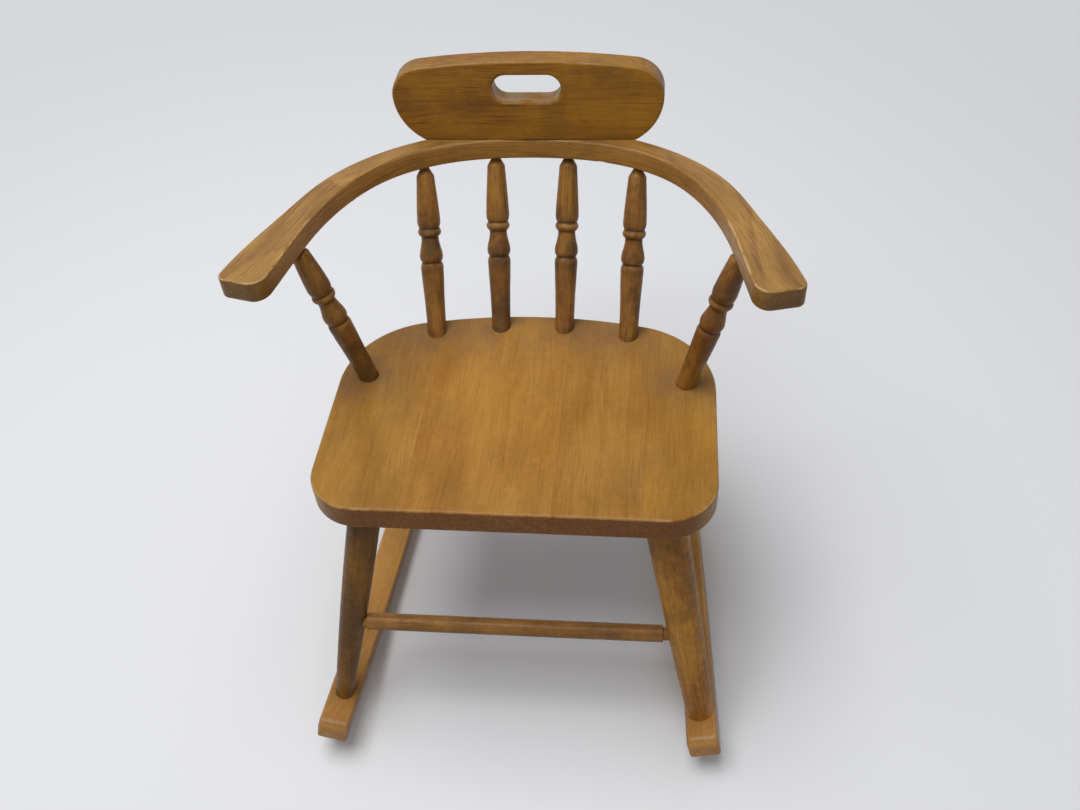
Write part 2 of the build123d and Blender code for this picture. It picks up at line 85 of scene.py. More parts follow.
def vector_maths(tree, operation, *values):
    """The result of a Vector Math node, a number where the operation gives one."""
    made = add(tree, "ShaderNodeVectorMath", dict(enumerate(values)), operation=operation)
    return made.outputs["Value" if operation in ("LENGTH", "DISTANCE", "DOT_PRODUCT") else 0]


def ramp(tree, value, low, high, start=0.0, end=1.0):
    """Goes smoothly from start to end as the value goes from low to high."""
    inputs = {"Value": value, "From Min": low, "From Max": high, "To Min": start, "To Max": end}
    return add(tree, "ShaderNodeMapRange", inputs, interpolation_type="SMOOTHSTEP").outputs[0]


def mix_colours(tree, factor, first, second):
    """The first colour where the factor is 0, the second where it is 1."""
    return add(tree, "ShaderNodeMix", {0: factor, 6: first, 7: second}, data_type="RGBA").outputs[2]


def noise(tree, place, scale, detail=2.0, roughness=0.5, stretch=None, output="Fac"):
    """Noise of the given features per millimetre, drawn out where stretch is small."""
    if stretch:
        place = vector_maths(tree, "MULTIPLY", place, stretch)
    inputs = {"Vector": place, "Scale": scale, "Detail": detail, "Roughness": roughness}
    return add(tree, "ShaderNodeTexNoise", inputs).outputs[output]


def split(tree, vector):
    """The X, Y and Z of a vector, by those names."""
    return add(tree, "ShaderNodeSeparateXYZ", {0: vector}).outputs


def object_place(tree):
    """The shaded point in object coordinates."""
    return add(tree, "ShaderNodeTexCoord").outputs["Object"]


def pitched_height(tree):
    """How high the shaded point lies above the pitched plane through the origin."""
    at = split(tree, object_place(tree))
    return maths(tree, "ADD", maths(tree, "MULTIPLY", at["Y"], math.tan(PITCH)), at["Z"])


def seen_directly(tree):
    """1 for rays that show a thing to the camera, also through a reflection or glass."""
    rays = add(tree, "ShaderNodeLightPath").outputs
    mirrored = maths(tree, "MAXIMUM", rays["Is Glossy Ray"], rays["Is Transmission Ray"])
    return maths(tree, "MAXIMUM", rays["Is Camera Ray"], mirrored)


def new_group(name, kind, inputs, outputs):
    """A node group with named sockets: each is a name, a socket kind and a default value."""
    tree = bpy.data.node_groups.new(name, kind)
    for label, socket, value in inputs:
        made = tree.interface.new_socket(label, in_out="INPUT", socket_type=socket)
        if value is not None:
            made.default_value = value
    for label, socket in outputs:
        tree.interface.new_socket(label, in_out="OUTPUT", socket_type=socket)
    return tree, tree.nodes.new("NodeGroupInput").outputs, tree.nodes.new("NodeGroupOutput").inputs


# ---------------------------------------------------------------- wood

def make_wood_figure():
    """Colour, roughness and relief of stained maple at a grain place."""
    tree, given, result = new_group(
        "wood_figure",
        "ShaderNodeTree",
        [
            ("Place", "NodeSocketVector", None),
            ("Pale", "NodeSocketColor", srgb(178, 130, 70)),
            ("Deep", "NodeSocketColor", srgb(140, 92, 40)),
            ("Line", "NodeSocketColor", srgb(84, 48, 18)),
            ("Ring Width", "NodeSocketFloat", 5.0),
            ("Ring Strength", "NodeSocketFloat", 0.3),
            ("Fibre Strength", "NodeSocketFloat", 0.2),
            ("Fleck Strength", "NodeSocketFloat", 0.3),
            ("Cloud Strength", "NodeSocketFloat", 0.6),
            ("Streak Strength", "NodeSocketFloat", 0.3),
            ("Grime Strength", "NodeSocketFloat", 0.2),
            ("Grime", "NodeSocketColor", srgb(84, 61, 33)),
            ("Worn Wood", "NodeSocketColor", srgb(206, 164, 112)),
            ("End Grain", "NodeSocketFloat", 0.0),
            ("Hollow", "NodeSocketFloat", 0.0),
            ("Soil And Painted Light", "NodeSocketFloat", 0.0),
            ("Scratch Strength", "NodeSocketFloat", 0.1),
            ("Wear And Highlight", "NodeSocketFloat", 0.0),
            ("Tone", "NodeSocketFloat", 1.0),
        ],
        [
            ("Colour", "NodeSocketColor"),
            ("Roughness", "NodeSocketFloat"),
            ("Relief", "NodeSocketFloat"),
        ],
    )
    place = given["Place"]
    sway = noise(tree, place, 1.0, 2.0, 0.5, (0.012, 0.012, 0.004), "Color")
    sway = vector_maths(tree, "SUBTRACT", sway, (0.5, 0.5, 0.5))
    sway = vector_maths(tree, "MULTIPLY", sway, (26, 26, 0))
    swayed = vector_maths(tree, "ADD", place, sway)

    # Growth rings round a pith outside the piece, each with its own depth of colour
    from_pith = vector_maths(tree, "ADD", swayed, (31, 58, 0))
    from_pith = vector_maths(tree, "MULTIPLY", from_pith, (1, 1, 0.012))
    ring = maths(tree, "DIVIDE", vector_maths(tree, "LENGTH", from_pith), given["Ring Width"])
    ring = maths(tree, "ADD", ring, noise(tree, place, 1.0, 2.0, 0.5, (0.05, 0.05, 0.006)))
    through_ring = maths(tree, "FRACT", ring)
    rise = ramp(tree, through_ring, 0.35, 0.93)
    fall = ramp(tree, through_ring, 0.93, 1.0, 1.0, 0.0)
    ring_number = maths(tree, "FLOOR", ring)
    ring_depth = add(tree, "ShaderNodeTexWhiteNoise", {"W": ring_number}, noise_dimensions="1D")
    late_wood = maths(tree, "MULTIPLY", maths(tree, "MULTIPLY", rise, fall), ring_depth.outputs[0])

    # Fibres, and short dark flecks along the grain
    fibres = noise(tree, swayed, 1.0, 4.0, 0.6, (0.75, 0.75, 0.014))
    flecks = noise(tree, place, 1.0, 2.0, 0.6, (0.85, 0.85, 0.06))
    flecks = ramp(tree, flecks, 0.6, 0.74)
    fleck_patches = ramp(tree, noise(tree, place, 1.0, 1.0, 0.5, (0.03, 0.03, 0.012)), 0.42, 0.62)
    flecks = maths(tree, "MULTIPLY", flecks, fleck_patches)

    # Long dark streaks, where the wood drank more stain
    streaks = noise(tree, swayed, 1.0, 3.0, 0.6, (0.34, 0.34, 0.011))
    streak_patches = ramp(tree, noise(tree, place, 1.0, 2.0, 0.5, (0.022, 0.022, 0.008)), 0.44, 0.6)
    streaks = maths(tree, "MULTIPLY", ramp(tree, streaks, 0.52, 0.68), streak_patches)

    # Stain that took unevenly
    clouds = noise(tree, place, 1.0, 3.0, 0.55, (0.026, 0.026, 0.009))
    mottle = noise(tree, place, 0.14, 3.0, 0.6)
    cloud = maths(tree, "MULTIPLY_ADD", clouds, 0.75, maths(tree, "MULTIPLY", mottle, 0.25))
    cloud = maths(tree, "MULTIPLY", ramp(tree, cloud, 0.34, 0.66), given["Cloud Strength"])
    colour = mix_colours(tree, cloud, given["Pale"], given["Deep"])

    dark = maths(tree, "MULTIPLY", late_wood, given["Ring Strength"])
    fibre_dark = maths(tree, "MULTIPLY", ramp(tree, fibres, 0.42, 0.7), given["Fibre Strength"])
    fleck_dark = maths(tree, "MULTIPLY", flecks, given["Fleck Strength"])
    streak_dark = maths(tree, "MULTIPLY", streaks, given["Streak Strength"])
    for more in (fibre_dark, fleck_dark, streak_dark):
        dark = maths(tree, "ADD", dark, more)
    colour = mix_colours(tree, maths(tree, "MINIMUM", dark, 0.9), colour, given["Line"])

    # Grime from handling in soft patches; dirt with painted shade and sheen where a piece asks for it, and
    # painted shade with grime in the turned hollows
    grime = noise(tree, vector_maths(tree, "ADD", place, (90, 40, 300)), 0.021, 4.0, 0.6)
    soil_and_painted_light = maths(tree, "MULTIPLY", ramp(tree, grime, 0.3, 0.6, 0.35, 1.0), given["Soil And Painted Light"])
    grime = maths(tree, "MULTIPLY", ramp(tree, grime, 0.48, 0.66), given["Grime Strength"])
    colour = mix_colours(tree, maths(tree, "MAXIMUM", grime, soil_and_painted_light), colour, given["Grime"])
    colour = mix_colours(tree, maths(tree, "MULTIPLY", given["Hollow"], 0.85), colour, given["Line"])

    # End grain drinks more stain, and edges abraded by use show paler wood, partly a painted highlight
    pores = noise(tree, place, 0.4, 3.0, 0.65)
    end_grain = maths(tree, "MULTIPLY", given["End Grain"], ramp(tree, pores, 0.3, 0.7, 0.3, 0.85))
    colour = mix_colours(tree, end_grain, colour, given["Line"])
    rubbed_patches = ramp(tree, noise(tree, place, 0.06, 4.0, 0.65), 0.36, 0.6)
    rubbed_and_highlit = maths(tree, "MULTIPLY", given["Wear And Highlight"], rubbed_patches)
    scratches = ramp(tree, noise(tree, place, 1.0, 2.0, 0.7, (0.55, 0.55, 0.3)), 0.66, 0.72)
    scratch_patches = ramp(tree, noise(tree, place, 0.03, 1.0, 0.5), 0.45, 0.62)
    scratches = maths(tree, "MULTIPLY", scratches, scratch_patches)
    scratches = maths(tree, "MULTIPLY", scratches, given["Scratch Strength"])
    colour = mix_colours(tree, maths(tree, "MAXIMUM", rubbed_and_highlit, scratches), colour, given["Worn Wood"])
    # The tone brightens or darkens the colour; the pieces use it for painted light and shade
    colour = vector_maths(tree, "MULTIPLY", colour, given["Tone"])

    roughness = ramp(tree, mottle, 0.3, 0.7, 0.36, 0.48)
    roughness = maths(tree, "ADD", roughness, maths(tree, "MULTIPLY", dark, 0.08))
    relief = maths(tree, "MULTIPLY", fibres, 0.25)
    relief = maths(tree, "SUBTRACT", relief, maths(tree, "MULTIPLY", flecks, 0.3))
    relief = maths(tree, "SUBTRACT", relief, maths(tree, "MULTIPLY", late_wood, 0.15))
    relief = maths(tree, "ADD", relief, noise(tree, place, 0.035, 2.0, 0.5))
    tree.links.new(colour, result["Colour"])
    tree.links.new(roughness, result["Roughness"])
    tree.links.new(relief, result["Relief"])
    return tree


WOOD_FIGURE = make_wood_figure()
RELIEF_DEPTH = 0.0004


def board_place(tree, origin, axis, roll=0.0, shift=0.0):
    """The grain place of a straight piece with its grain along the axis; shift picks its figure."""
    turn = axis.to_track_quat("Z", "X").to_matrix() @ Matrix.Rotation(roll, 3, "Z")
    inputs = {
        "Vector": object_place(tree),
        "Location": origin,
        "Rotation": turn.to_euler(),
        "Scale": (MM, MM, MM),
    }
    place = add(tree, "ShaderNodeMapping", inputs, vector_type="TEXTURE").outputs[0]
    return vector_maths(tree, "ADD", place, (shift, 0.6 * shift, 3.1 * shift))


def facing(tree, direction):
    """How squarely the surface faces along a direction or against it, 0 to 1."""
    normal = add(tree, "ShaderNodeTexCoord").outputs["Normal"]
    return maths(tree, "ABSOLUTE", vector_maths(tree, "DOT_PRODUCT", normal, tuple(direction)))


def eased(tree, direction):
    """1 on an edge eased between faces along a direction and faces across it, else 0."""
    squared = maths(tree, "POWER", facing(tree, direction), 2.0)
    both = maths(tree, "MULTIPLY", squared, maths(tree, "SUBTRACT", 1.0, squared))
    return ramp(tree, both, 0.04, 0.22)


def along_y(tree):
    """How far back the shaded point lies."""
    return split(tree, object_place(tree))["Y"]


def joint_rings_and_shade(tree, points, radius, smudge_and_shade, reach, ring_depth):
    """A dark ring round each joint on a surface, in a softer patch of dirt and painted shade."""
    place = object_place(tree)
    closest = vector_maths(tree, "DISTANCE", place, tuple(points[0]))
    for point in points[1:]:
        closest = maths(tree, "MINIMUM", closest, vector_maths(tree, "DISTANCE", place, tuple(point)))
    soft = ramp(tree, closest, radius, radius + reach, smudge_and_shade, 0.0)
    ring = ramp(tree, closest, radius + 0.5 * MM, radius + 2.2 * MM, ring_depth, 0.0)
    return maths(tree, "MAXIMUM", soft, ring)


def far_out(tree, low, high):
    """0 in the object's middle, rising to 1 between two distances along each axis where they differ."""
    parts = split(tree, vector_maths(tree, "ABSOLUTE", object_place(tree)))
    shares = [ramp(tree, part, start, end) for part, start, end in zip(parts, low, high) if start != end]
    return shares[0] if len(shares) == 1 else maths(tree, "MULTIPLY", *shares)


def wood(
    name, make_place, grain=None, turned=False, end_attribute=None, broad=None,
    wear_and_highlight=0.25, worn_and_highlit_at=None, soil_and_painted_light_at=None, tone_at=None, end_share=1.0,
    bare_at=None, specular=0.22, coat=0.08, **looks,
):
    """A varnished wood: make_place gives its grain place, and looks set its figure.

    End grain shows on faces square to the direction grain, or where end_attribute says. The edges of
    faces square to the direction broad are abraded paler, partly a painted highlight. What ends in _at gives
    a mask or a tone, or is the pair of distances between which that paler edge grows to its full.
    """
    material = bpy.data.materials.new(name)
    material.use_nodes = True
    tree = material.node_tree
    tree.nodes.clear()
    figure = add(tree, "ShaderNodeGroup", node_tree=WOOD_FIGURE)
    tree.links.new(make_place(tree), figure.inputs["Place"])
    if grain is not None or end_attribute:
        if end_attribute:
            squarely = add(tree, "ShaderNodeAttribute", attribute_name=end_attribute).outputs["Fac"]
        else:
            squarely = facing(tree, grain)
        tree.links.new(ramp(tree, squarely, 0.55, 0.95, 0.0, end_share), figure.inputs["End Grain"])
    if broad is not None:
        share = wear_and_highlight
        if worn_and_highlit_at:
            share = maths(tree, "MULTIPLY_ADD", far_out(tree, *worn_and_highlit_at), 1.0 - wear_and_highlight, wear_and_highlight)
        worn = maths(tree, "MULTIPLY", eased(tree, broad), share)
        if bare_at:
            worn = maths(tree, "MAXIMUM", worn, bare_at(tree))
        tree.links.new(worn, figure.inputs["Wear And Highlight"])
    if soil_and_painted_light_at:
        tree.links.new(soil_and_painted_light_at(tree), figure.inputs["Soil And Painted Light"])
    if tone_at:
        tree.links.new(tone_at(tree), figure.inputs["Tone"])
    # Hollows and joints darken with painted shade and grime, and bulges go paler with abrasion and a painted
    # highlight
    if turned:
        hollow = add(tree, "ShaderNodeAttribute", attribute_name="hollow").outputs["Fac"]
        tree.links.new(ramp(tree, hollow, 0.15, 0.9), figure.inputs["Hollow"])
        tree.links.new(ramp(tree, hollow, -0.15, -0.7, 0.0, wear_and_highlight), figure.inputs["Wear And Highlight"])
    for label, value in looks.items():
        figure.inputs[label.replace("_", " ").title()].default_value = value
    bump = add(tree, "ShaderNodeBump", {
        "Strength": 0.35, "Distance": RELIEF_DEPTH, "Height": figure.outputs["Relief"],
    })
    shader = add(tree, "ShaderNodeBsdfPrincipled", {
        "Base Color": figure.outputs["Colour"],
        "Roughness": figure.outputs["Roughness"],
        "Normal": bump.outputs[0],
        "Specular IOR Level": specular,
        "Coat Weight": coat,
        "Coat Roughness": 0.22,
    })
    add(tree, "ShaderNodeOutputMaterial", {"Surface": shader.outputs[0]})
    return material


def finish_node(name, material):
    """Gives a CAD node its material."""
    for slot in nodes[name].material_slots:
        slot.material = material


# ---------------------------------------------------------------- seat

# Where the spindles' axes cross the seat's top and the bow's underside
SPINDLE_ENDS = {
    "back_spindle_1": ((-0.1074, 0.0805), (-0.1145, 0.1720)),
    "back_spindle_2": ((-0.0357, 0.0922), (-0.0395, 0.1925)),
    "back_spindle_3": ((0.0357, 0.0922), (0.0395, 0.1925)),
    "back_spindle_4": ((0.1074, 0.0805), (0.1145, 0.1720)),
    "arm_spindle_left": ((-0.1706, 0.0068), (-0.2160, 0.0195)),
    "arm_spindle_right": ((0.1706, 0.0068), (0.2160, 0.0195)),
}
SPINDLE_FOOT_RADIUS = 0.0103
SPINDLE_FEET = [on_pitched_plane(SEAT_TOP_HEIGHT, *foot) for foot, head in SPINDLE_ENDS.values()]


def seat_front_shade(tree):
    """A painted shade, a little darker towards the front."""
    return ramp(tree, along_y(tree), -0.16, -0.07, 0.93, 1.0)


def seat_soil_and_painted_light(tree):
    """Smudges of dirt and painted shade round the spindles' feet, and a greyer haze along the seat's back,
    painted in for the haze of its sheen.
    """
    joints = joint_rings_and_shade(tree, SPINDLE_FEET, SPINDLE_FOOT_RADIUS, 0.6, 0.05, 0.9)
    return maths(tree, "MAXIMUM", joints, ramp(tree, along_y(tree), -0.01, 0.09, 0.0, 0.4))


# Grain front to back. Each board has its middle's x, its grain's roll and shift, and its two tones
BACKWARD = Vector((0, 1, -math.tan(PITCH))).normalized()
# Towards the seat's corners the eased edges' abrasion and painted highlight grow to their full
SEAT_CORNERS = ((0.12, 0.12, 0), (0.17, 0.16, 0))
SEAT_BOARDS = {
    "seat_board_1": (-0.152, 0.2, 11.0, srgb(185, 136, 62), srgb(156, 110, 48)),
    "seat_board_2": (-0.030, -0.3, 53.0, srgb(190, 138, 62), srgb(160, 108, 43)),
    "seat_board_3": (0.086, 0.5, 97.0, srgb(184, 134, 61), srgb(154, 105, 44)),
    "seat_board_4": (0.166, -0.1, 141.0, srgb(187, 138, 59), srgb(157, 109, 45)),
}
for board, (middle, roll, shift, pale, deep) in SEAT_BOARDS.items():
    origin = Vector((middle, 0, SEAT_TOP_HEIGHT))
    finish_node(board, wood(
        board + "_maple",
        lambda tree: board_place(tree, origin, BACKWARD, roll, shift),
        grain=BACKWARD,
        broad=PITCH_UP,
        wear_and_highlight=0.3,
        worn_and_highlit_at=SEAT_CORNERS,
        soil_and_painted_light_at=seat_soil_and_painted_light,
        tone_at=seat_front_shade,
        end_share=1.0,
        specular=0.08,
        coat=0.2,
        # The grime colour also carries the painted shade and sheen of the seat's soil mask
        grime=srgb(116, 92, 66),
        pale=pale,
        deep=deep,
        line=srgb(124, 62, 16),
        cloud_strength=0.75,
        ring_strength=0.12,
        fibre_strength=0.27,
        fleck_strength=0.1,
        streak_strength=0.14,
        grime_strength=0.13,
        ring_width=13.0,
    ))

# ---------------------------------------------------------------- crest

# Grain from side to side
ACROSS = Vector((1, 0, 0))
CREST_FRONT = PITCH_UP.cross(ACROSS)
BOW_BACK_Y = 0.1815
CREST_FOOT = Vector((0, BOW_BACK_Y, 0.483))
DOWEL_PLACE = Vector((0, 0.19, 0.48))
SLOT_REACH = 0.046
SLOT_CEILING = 0.561
SLOT_FADE = 0.004


def crest_foot_line_and_shade(tree):
    """The dark line where the crest stands on the bow, in a soft band of painted shade and grime."""
    above_bow = maths(tree, "SUBTRACT", pitched_height(tree), BOW_TOP_HEIGHT)
    line = ramp(tree, above_bow, 0.6 * MM, 2.2 * MM, 0.9, 0.0)
    band = ramp(tree, above_bow, 0.0, 18 * MM, 0.35, 0.0)
    return maths(tree, "MAXIMUM", line, band)


def in_slot(tree):
    """1 in and just round the crest's hand slot, else 0."""
    aside = maths(tree, "ABSOLUTE", split(tree, object_place(tree))["X"])
    beside = ramp(tree, aside, SLOT_REACH + SLOT_FADE, SLOT_REACH)
    below = ramp(tree, pitched_height(tree), SLOT_CEILING + SLOT_FADE, SLOT_CEILING)
    return maths(tree, "MULTIPLY", beside, below)


def crest_painted_shade(tree):
    """A painted shade: darker along the crest's edges than on its faces, but pale inside its hand slot."""
    edge = maths(tree, "MULTIPLY_ADD", in_slot(tree), 0.45, 0.78)
    return add(tree, "ShaderNodeMapRange", {
        "Value": facing(tree, CREST_FRONT), "From Min": 0.3, "From Max": 0.9, "To Min": edge, "To Max": 1.0,
    }).outputs[0]


def slot_wear(tree):
    """The varnish rubbed off inside the hand slot."""
    inside = ramp(tree, facing(tree, CREST_FRONT), 0.5, 0.2, 0.0, 0.55)
    return maths(tree, "MULTIPLY", in_slot(tree), inside)


finish_node("crest_rail", wood(
    "crest_maple",
    lambda tree: board_place(tree, CREST_FOOT, ACROSS, 0.2, 23.0),
    grain=ACROSS,
    broad=CREST_FRONT,
    wear_and_highlight=0.2,
    soil_and_painted_light_at=crest_foot_line_and_shade,
    tone_at=crest_painted_shade,
    bare_at=slot_wear,
    worn_wood=srgb(196, 176, 138),
    end_share=0.5,
    pale=srgb(190, 134, 42),
    deep=srgb(144, 90, 26),
    line=srgb(70, 38, 12),
    ring_strength=0.15,
    fibre_strength=0.35,
    fleck_strength=0.5,
    streak_strength=0.45,
    grime_strength=0.3,
))

finish_node("crest_dowels", wood(
    "dowel_maple",
    lambda tree: board_place(tree, DOWEL_PLACE, PITCH_UP),
))

# ---------------------------------------------------------------- turned spindles

SEAM_GAP = 0.00002


def make_turning():
    """A turned piece: the profile curve, radius along x and height along z, taken round an axis."""
    tree, given, result = new_group(
        "turning",
        "GeometryNodeTree",
        [
            ("Profile", "NodeSocketGeometry", None),
            ("Foot", "NodeSocketVector", (0, 0, 0)),
            ("Tilt", "NodeSocketRotation", None),
            ("Shoulder", "NodeSocketFloat", 0.2),
            ("Rows", "NodeSocketInt", 160),
            ("Sides", "NodeSocketInt", 48),
            ("Grain Shift", "NodeSocketVector", (0, 0, 0)),
            ("Material", "NodeSocketMaterial", None),
        ],
        [("Mesh", "NodeSocketGeometry")],
    )
    grid = add(tree, "GeometryNodeMeshGrid", {
        "Size X": 1.0, "Size Y": 1.0, "Vertices X": given["Sides"], "Vertices Y": given["Rows"],
    })
    at = split(tree, add(tree, "GeometryNodeInputPosition").outputs[0])
    angle = maths(tree, "MULTIPLY", maths(tree, "ADD", at["X"], 0.5), math.tau)
    height_share = maths(tree, "ADD", at["Y"], 0.5)

    def profile_at(share):
        """The profile's point at this share of its length."""
        inputs = {"Curves": given["Profile"], "Factor": share}
        sample = add(tree, "GeometryNodeSampleCurve", inputs, mode="FACTOR")
        return split(tree, sample.outputs["Position"])

    # How many millimetres the surface lies inside its neighbours, and the joints' painted shade and grime, as
    # one value
    spot = profile_at(height_share)
    near = [profile_at(maths(tree, "ADD", height_share, step))["X"] for step in (-0.011, 0.011)]
    around = maths(tree, "MULTIPLY", maths(tree, "ADD", *near), 0.5)
    hollow = maths(tree, "DIVIDE", maths(tree, "SUBTRACT", around, spot["X"]), MM)
    at_foot = ramp(tree, spot["Z"], 0.0003, 0.0025, 0.4, 0.0)
    past_shoulder = maths(tree, "SUBTRACT", spot["Z"], given["Shoulder"])
    at_head = ramp(tree, past_shoulder, -0.003, 0.006, 0.0, 0.4)
    soil_and_painted_light = maths(tree, "MAXIMUM", at_foot, at_head)
    off_joints = maths(tree, "LESS_THAN", soil_and_painted_light, 0.05)
    hollow = maths(tree, "ADD", soil_and_painted_light, maths(tree, "MULTIPLY", hollow, off_joints))

    local = add(tree, "ShaderNodeCombineXYZ", {
        "X": maths(tree, "MULTIPLY", spot["X"], maths(tree, "COSINE", angle)),
        "Y": maths(tree, "MULTIPLY", spot["X"], maths(tree, "SINE", angle)),
        "Z": spot["Z"],
    }).outputs[0]
    grain = vector_maths(tree, "ADD", vector_maths(tree, "DIVIDE", local, (MM, MM, MM)), given["Grain Shift"])
    stored = add(tree, "GeometryNodeStoreNamedAttribute", {
        "Geometry": grid.outputs["Mesh"], "Name": "grain", "Value": grain}, data_type="FLOAT_VECTOR")
    stored = add(tree, "GeometryNodeStoreNamedAttribute", {
        "Geometry": stored.outputs[0], "Name": "hollow", "Value": hollow})
    turned = add(tree, "FunctionNodeRotateVector", {"Vector": local, "Rotation": given["Tilt"]})
    placed = add(tree, "GeometryNodeSetPosition", {
        "Geometry": stored.outputs[0],
        "Position": vector_maths(tree, "ADD", turned.outputs[0], given["Foot"]),
    })
    closed = add(tree, "GeometryNodeMergeByDistance", {"Geometry": placed.outputs[0], "Distance": SEAM_GAP})
    smooth = add(tree, "GeometryNodeSetShadeSmooth", {"Geometry": closed.outputs[0]})
    real = add(tree, "GeometryNodeRealizeInstances", {"Geometry": smooth.outputs[0]})
    painted = add(tree, "GeometryNodeSetMaterial", {
        "Geometry": real.outputs[0], "Material": given["Material"],
    })
    tree.links.new(painted.outputs[0], result["Mesh"])
    return tree


def set_inputs(modifier, **values):
    """Sets a Geometry Nodes modifier's inputs by their names."""
    items = modifier.node_group.interface.items_tree
    sockets = {item.name: item.identifier for item in items if item.in_out == "INPUT"}
    for label, value in values.items():
        modifier[sockets[label.replace("_", " ").title()]] = value


def plain_mesh(maker, name):
    """The evaluated mesh of an object as a new piece; the maker goes."""
    evaluated = maker.evaluated_get(bpy.context.evaluated_depsgraph_get())
    mesh = bpy.data.meshes.new_from_object(evaluated)
    mesh.name = name
    bpy.data.objects.remove(maker)
    piece = bpy.data.objects.new(name, mesh)
    bpy.context.scene.collection.objects.link(piece)
    return piece


def profile_curve(stations):
    """A profile through (height, radius, smooth) stations, in millimetres."""
    data = bpy.data.curves.new("profile", "CURVE")
    data.dimensions = "3D"
    data.resolution_u = 24
    spline = data.splines.new("BEZIER")
    spline.bezier_points.add(len(stations) - 1)
    for point, (height, radius, smooth) in zip(spline.bezier_points, stations):
        point.co = Vector((radius, 0, height)) * MM
        point.handle_left_type = point.handle_right_type = "AUTO" if smooth else "VECTOR"
    return data


def attribute_place(tree):
    """The grain place that is stored in the mesh."""
    return add(tree, "ShaderNodeAttribute", attribute_name="grain").outputs["Vector"]


SPINDLE_WOOD = wood(
    "spindle_maple",
    attribute_place,
    turned=True,
    wear_and_highlight=0.35,
    pale=srgb(172, 121, 50),
    deep=srgb(122, 78, 32),
    line=srgb(66, 38, 14),
    ring_strength=0.15,
    fibre_strength=0.35,
    fleck_strength=0.35,
    streak_strength=0.35,
    grime_strength=0.7,
    cloud_strength=1.0,
    ring_width=4.0,
)
TURNING = make_turning()
SPINDLE_IN_SEAT = 16.0
SPINDLE_IN_BOW = 6.5
BACK_NECK_AND_CONE = (5.5, 8.0)
ARM_NECK_AND_CONE = (1.6, 4.5)


def spindle_stations(length, neck, cone):
    """The spindle's heights and radii in millimetres, its upper taper as long as it needs.

    The last entry of a station says whether the profile runs smoothly through it.
    """
    shoulder = length - neck - cone
    return [
        # Foot and lower taper
        (-SPINDLE_IN_SEAT, 0.0, False),
        (-SPINDLE_IN_SEAT, 10.3, False),
        (0.0, 10.3, False),
        (36.0, 11.1, True),
        (68.0, 12.3, True),
        (75.6, 12.3, True),
        (78.2, 11.3, True),
        (79.5, 10.4, False),
        # Vase
        (80.9, 11.5, True),
        (84.0, 12.6, True),
        (89.5, 12.4, True),
        (97.0, 10.7, True),
        (103.5, 9.5, True),
        (107.6, 9.5, False),
        # Bead
        (109.6, 11.6, True),
        (112.9, 12.7, True),
        (115.6, 11.8, True),
        (116.9, 10.7, False),
        # Upper taper, cone and neck
        (118.6, 11.6, True),
        (122.5, 12.5, True),
        (130.0, 12.4, True),
        (shoulder, 9.5, False),
        (shoulder + cone, 4.8, False),
        (length + SPINDLE_IN_BOW, 4.8, False),
        (length + SPINDLE_IN_BOW, 0.0, False),
    ]


BOW_UNDER_HEIGHT = BOW_TOP_HEIGHT - BOW_THICKNESS / math.cos(PITCH)
for order, (name, (foot_at, head_at)) in enumerate(SPINDLE_ENDS.items()):
    foot = on_pitched_plane(SEAT_TOP_HEIGHT, *foot_at)
    head = on_pitched_plane(BOW_UNDER_HEIGHT, *head_at)
    neck, cone = ARM_NECK_AND_CONE if "arm" in name else BACK_NECK_AND_CONE
    profile = profile_curve(spindle_stations((head - foot).length / MM, neck, cone))
    maker = bpy.data.objects.new(name + "_profile", profile)
    bpy.context.scene.collection.objects.link(maker)
    turning = maker.modifiers.new("turning", "NODES")
    turning.node_group = TURNING
    set_inputs(
        turning,
        foot=foot,
        tilt=(head - foot).to_track_quat("Z", "X").to_euler(),
        shoulder=(head - foot).length - (neck + cone) * MM,
        grain_shift=(140.0 * order, -60.0 * order, 517.0 * order),
        material=SPINDLE_WOOD,
    )
    piece = plain_mesh(maker, "turned_" + name)
    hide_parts(name)
    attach(piece, BODY)

# ---------------------------------------------------------------- legs, stretchers and rockers

# Both ends of each leg's and stretcher's axis, along which its grain runs
LEG_ENDS = {
    "front_leg_left": ((-0.1954, -0.2373, 0.0468), (-0.1485, -0.1350, 0.2765)),
    "front_leg_right": ((0.1953, -0.2343, 0.0464), (0.1485, -0.1350, 0.2765)),
    "rear_leg_left": ((-0.1674, 0.1549, 0.0364), (-0.1400, 0.0545, 0.2699)),
    "rear_leg_right": ((0.1674, 0.1549, 0.0364), (0.1400, 0.0545, 0.2699)),
    "front_stretcher": ((-0.1609, -0.1980, 0.135), (0.1536, -0.1961, 0.135)),
    "rear_stretcher": ((-0.1386, 0.1125, 0.135), (0.1391, 0.1125, 0.135)),
}
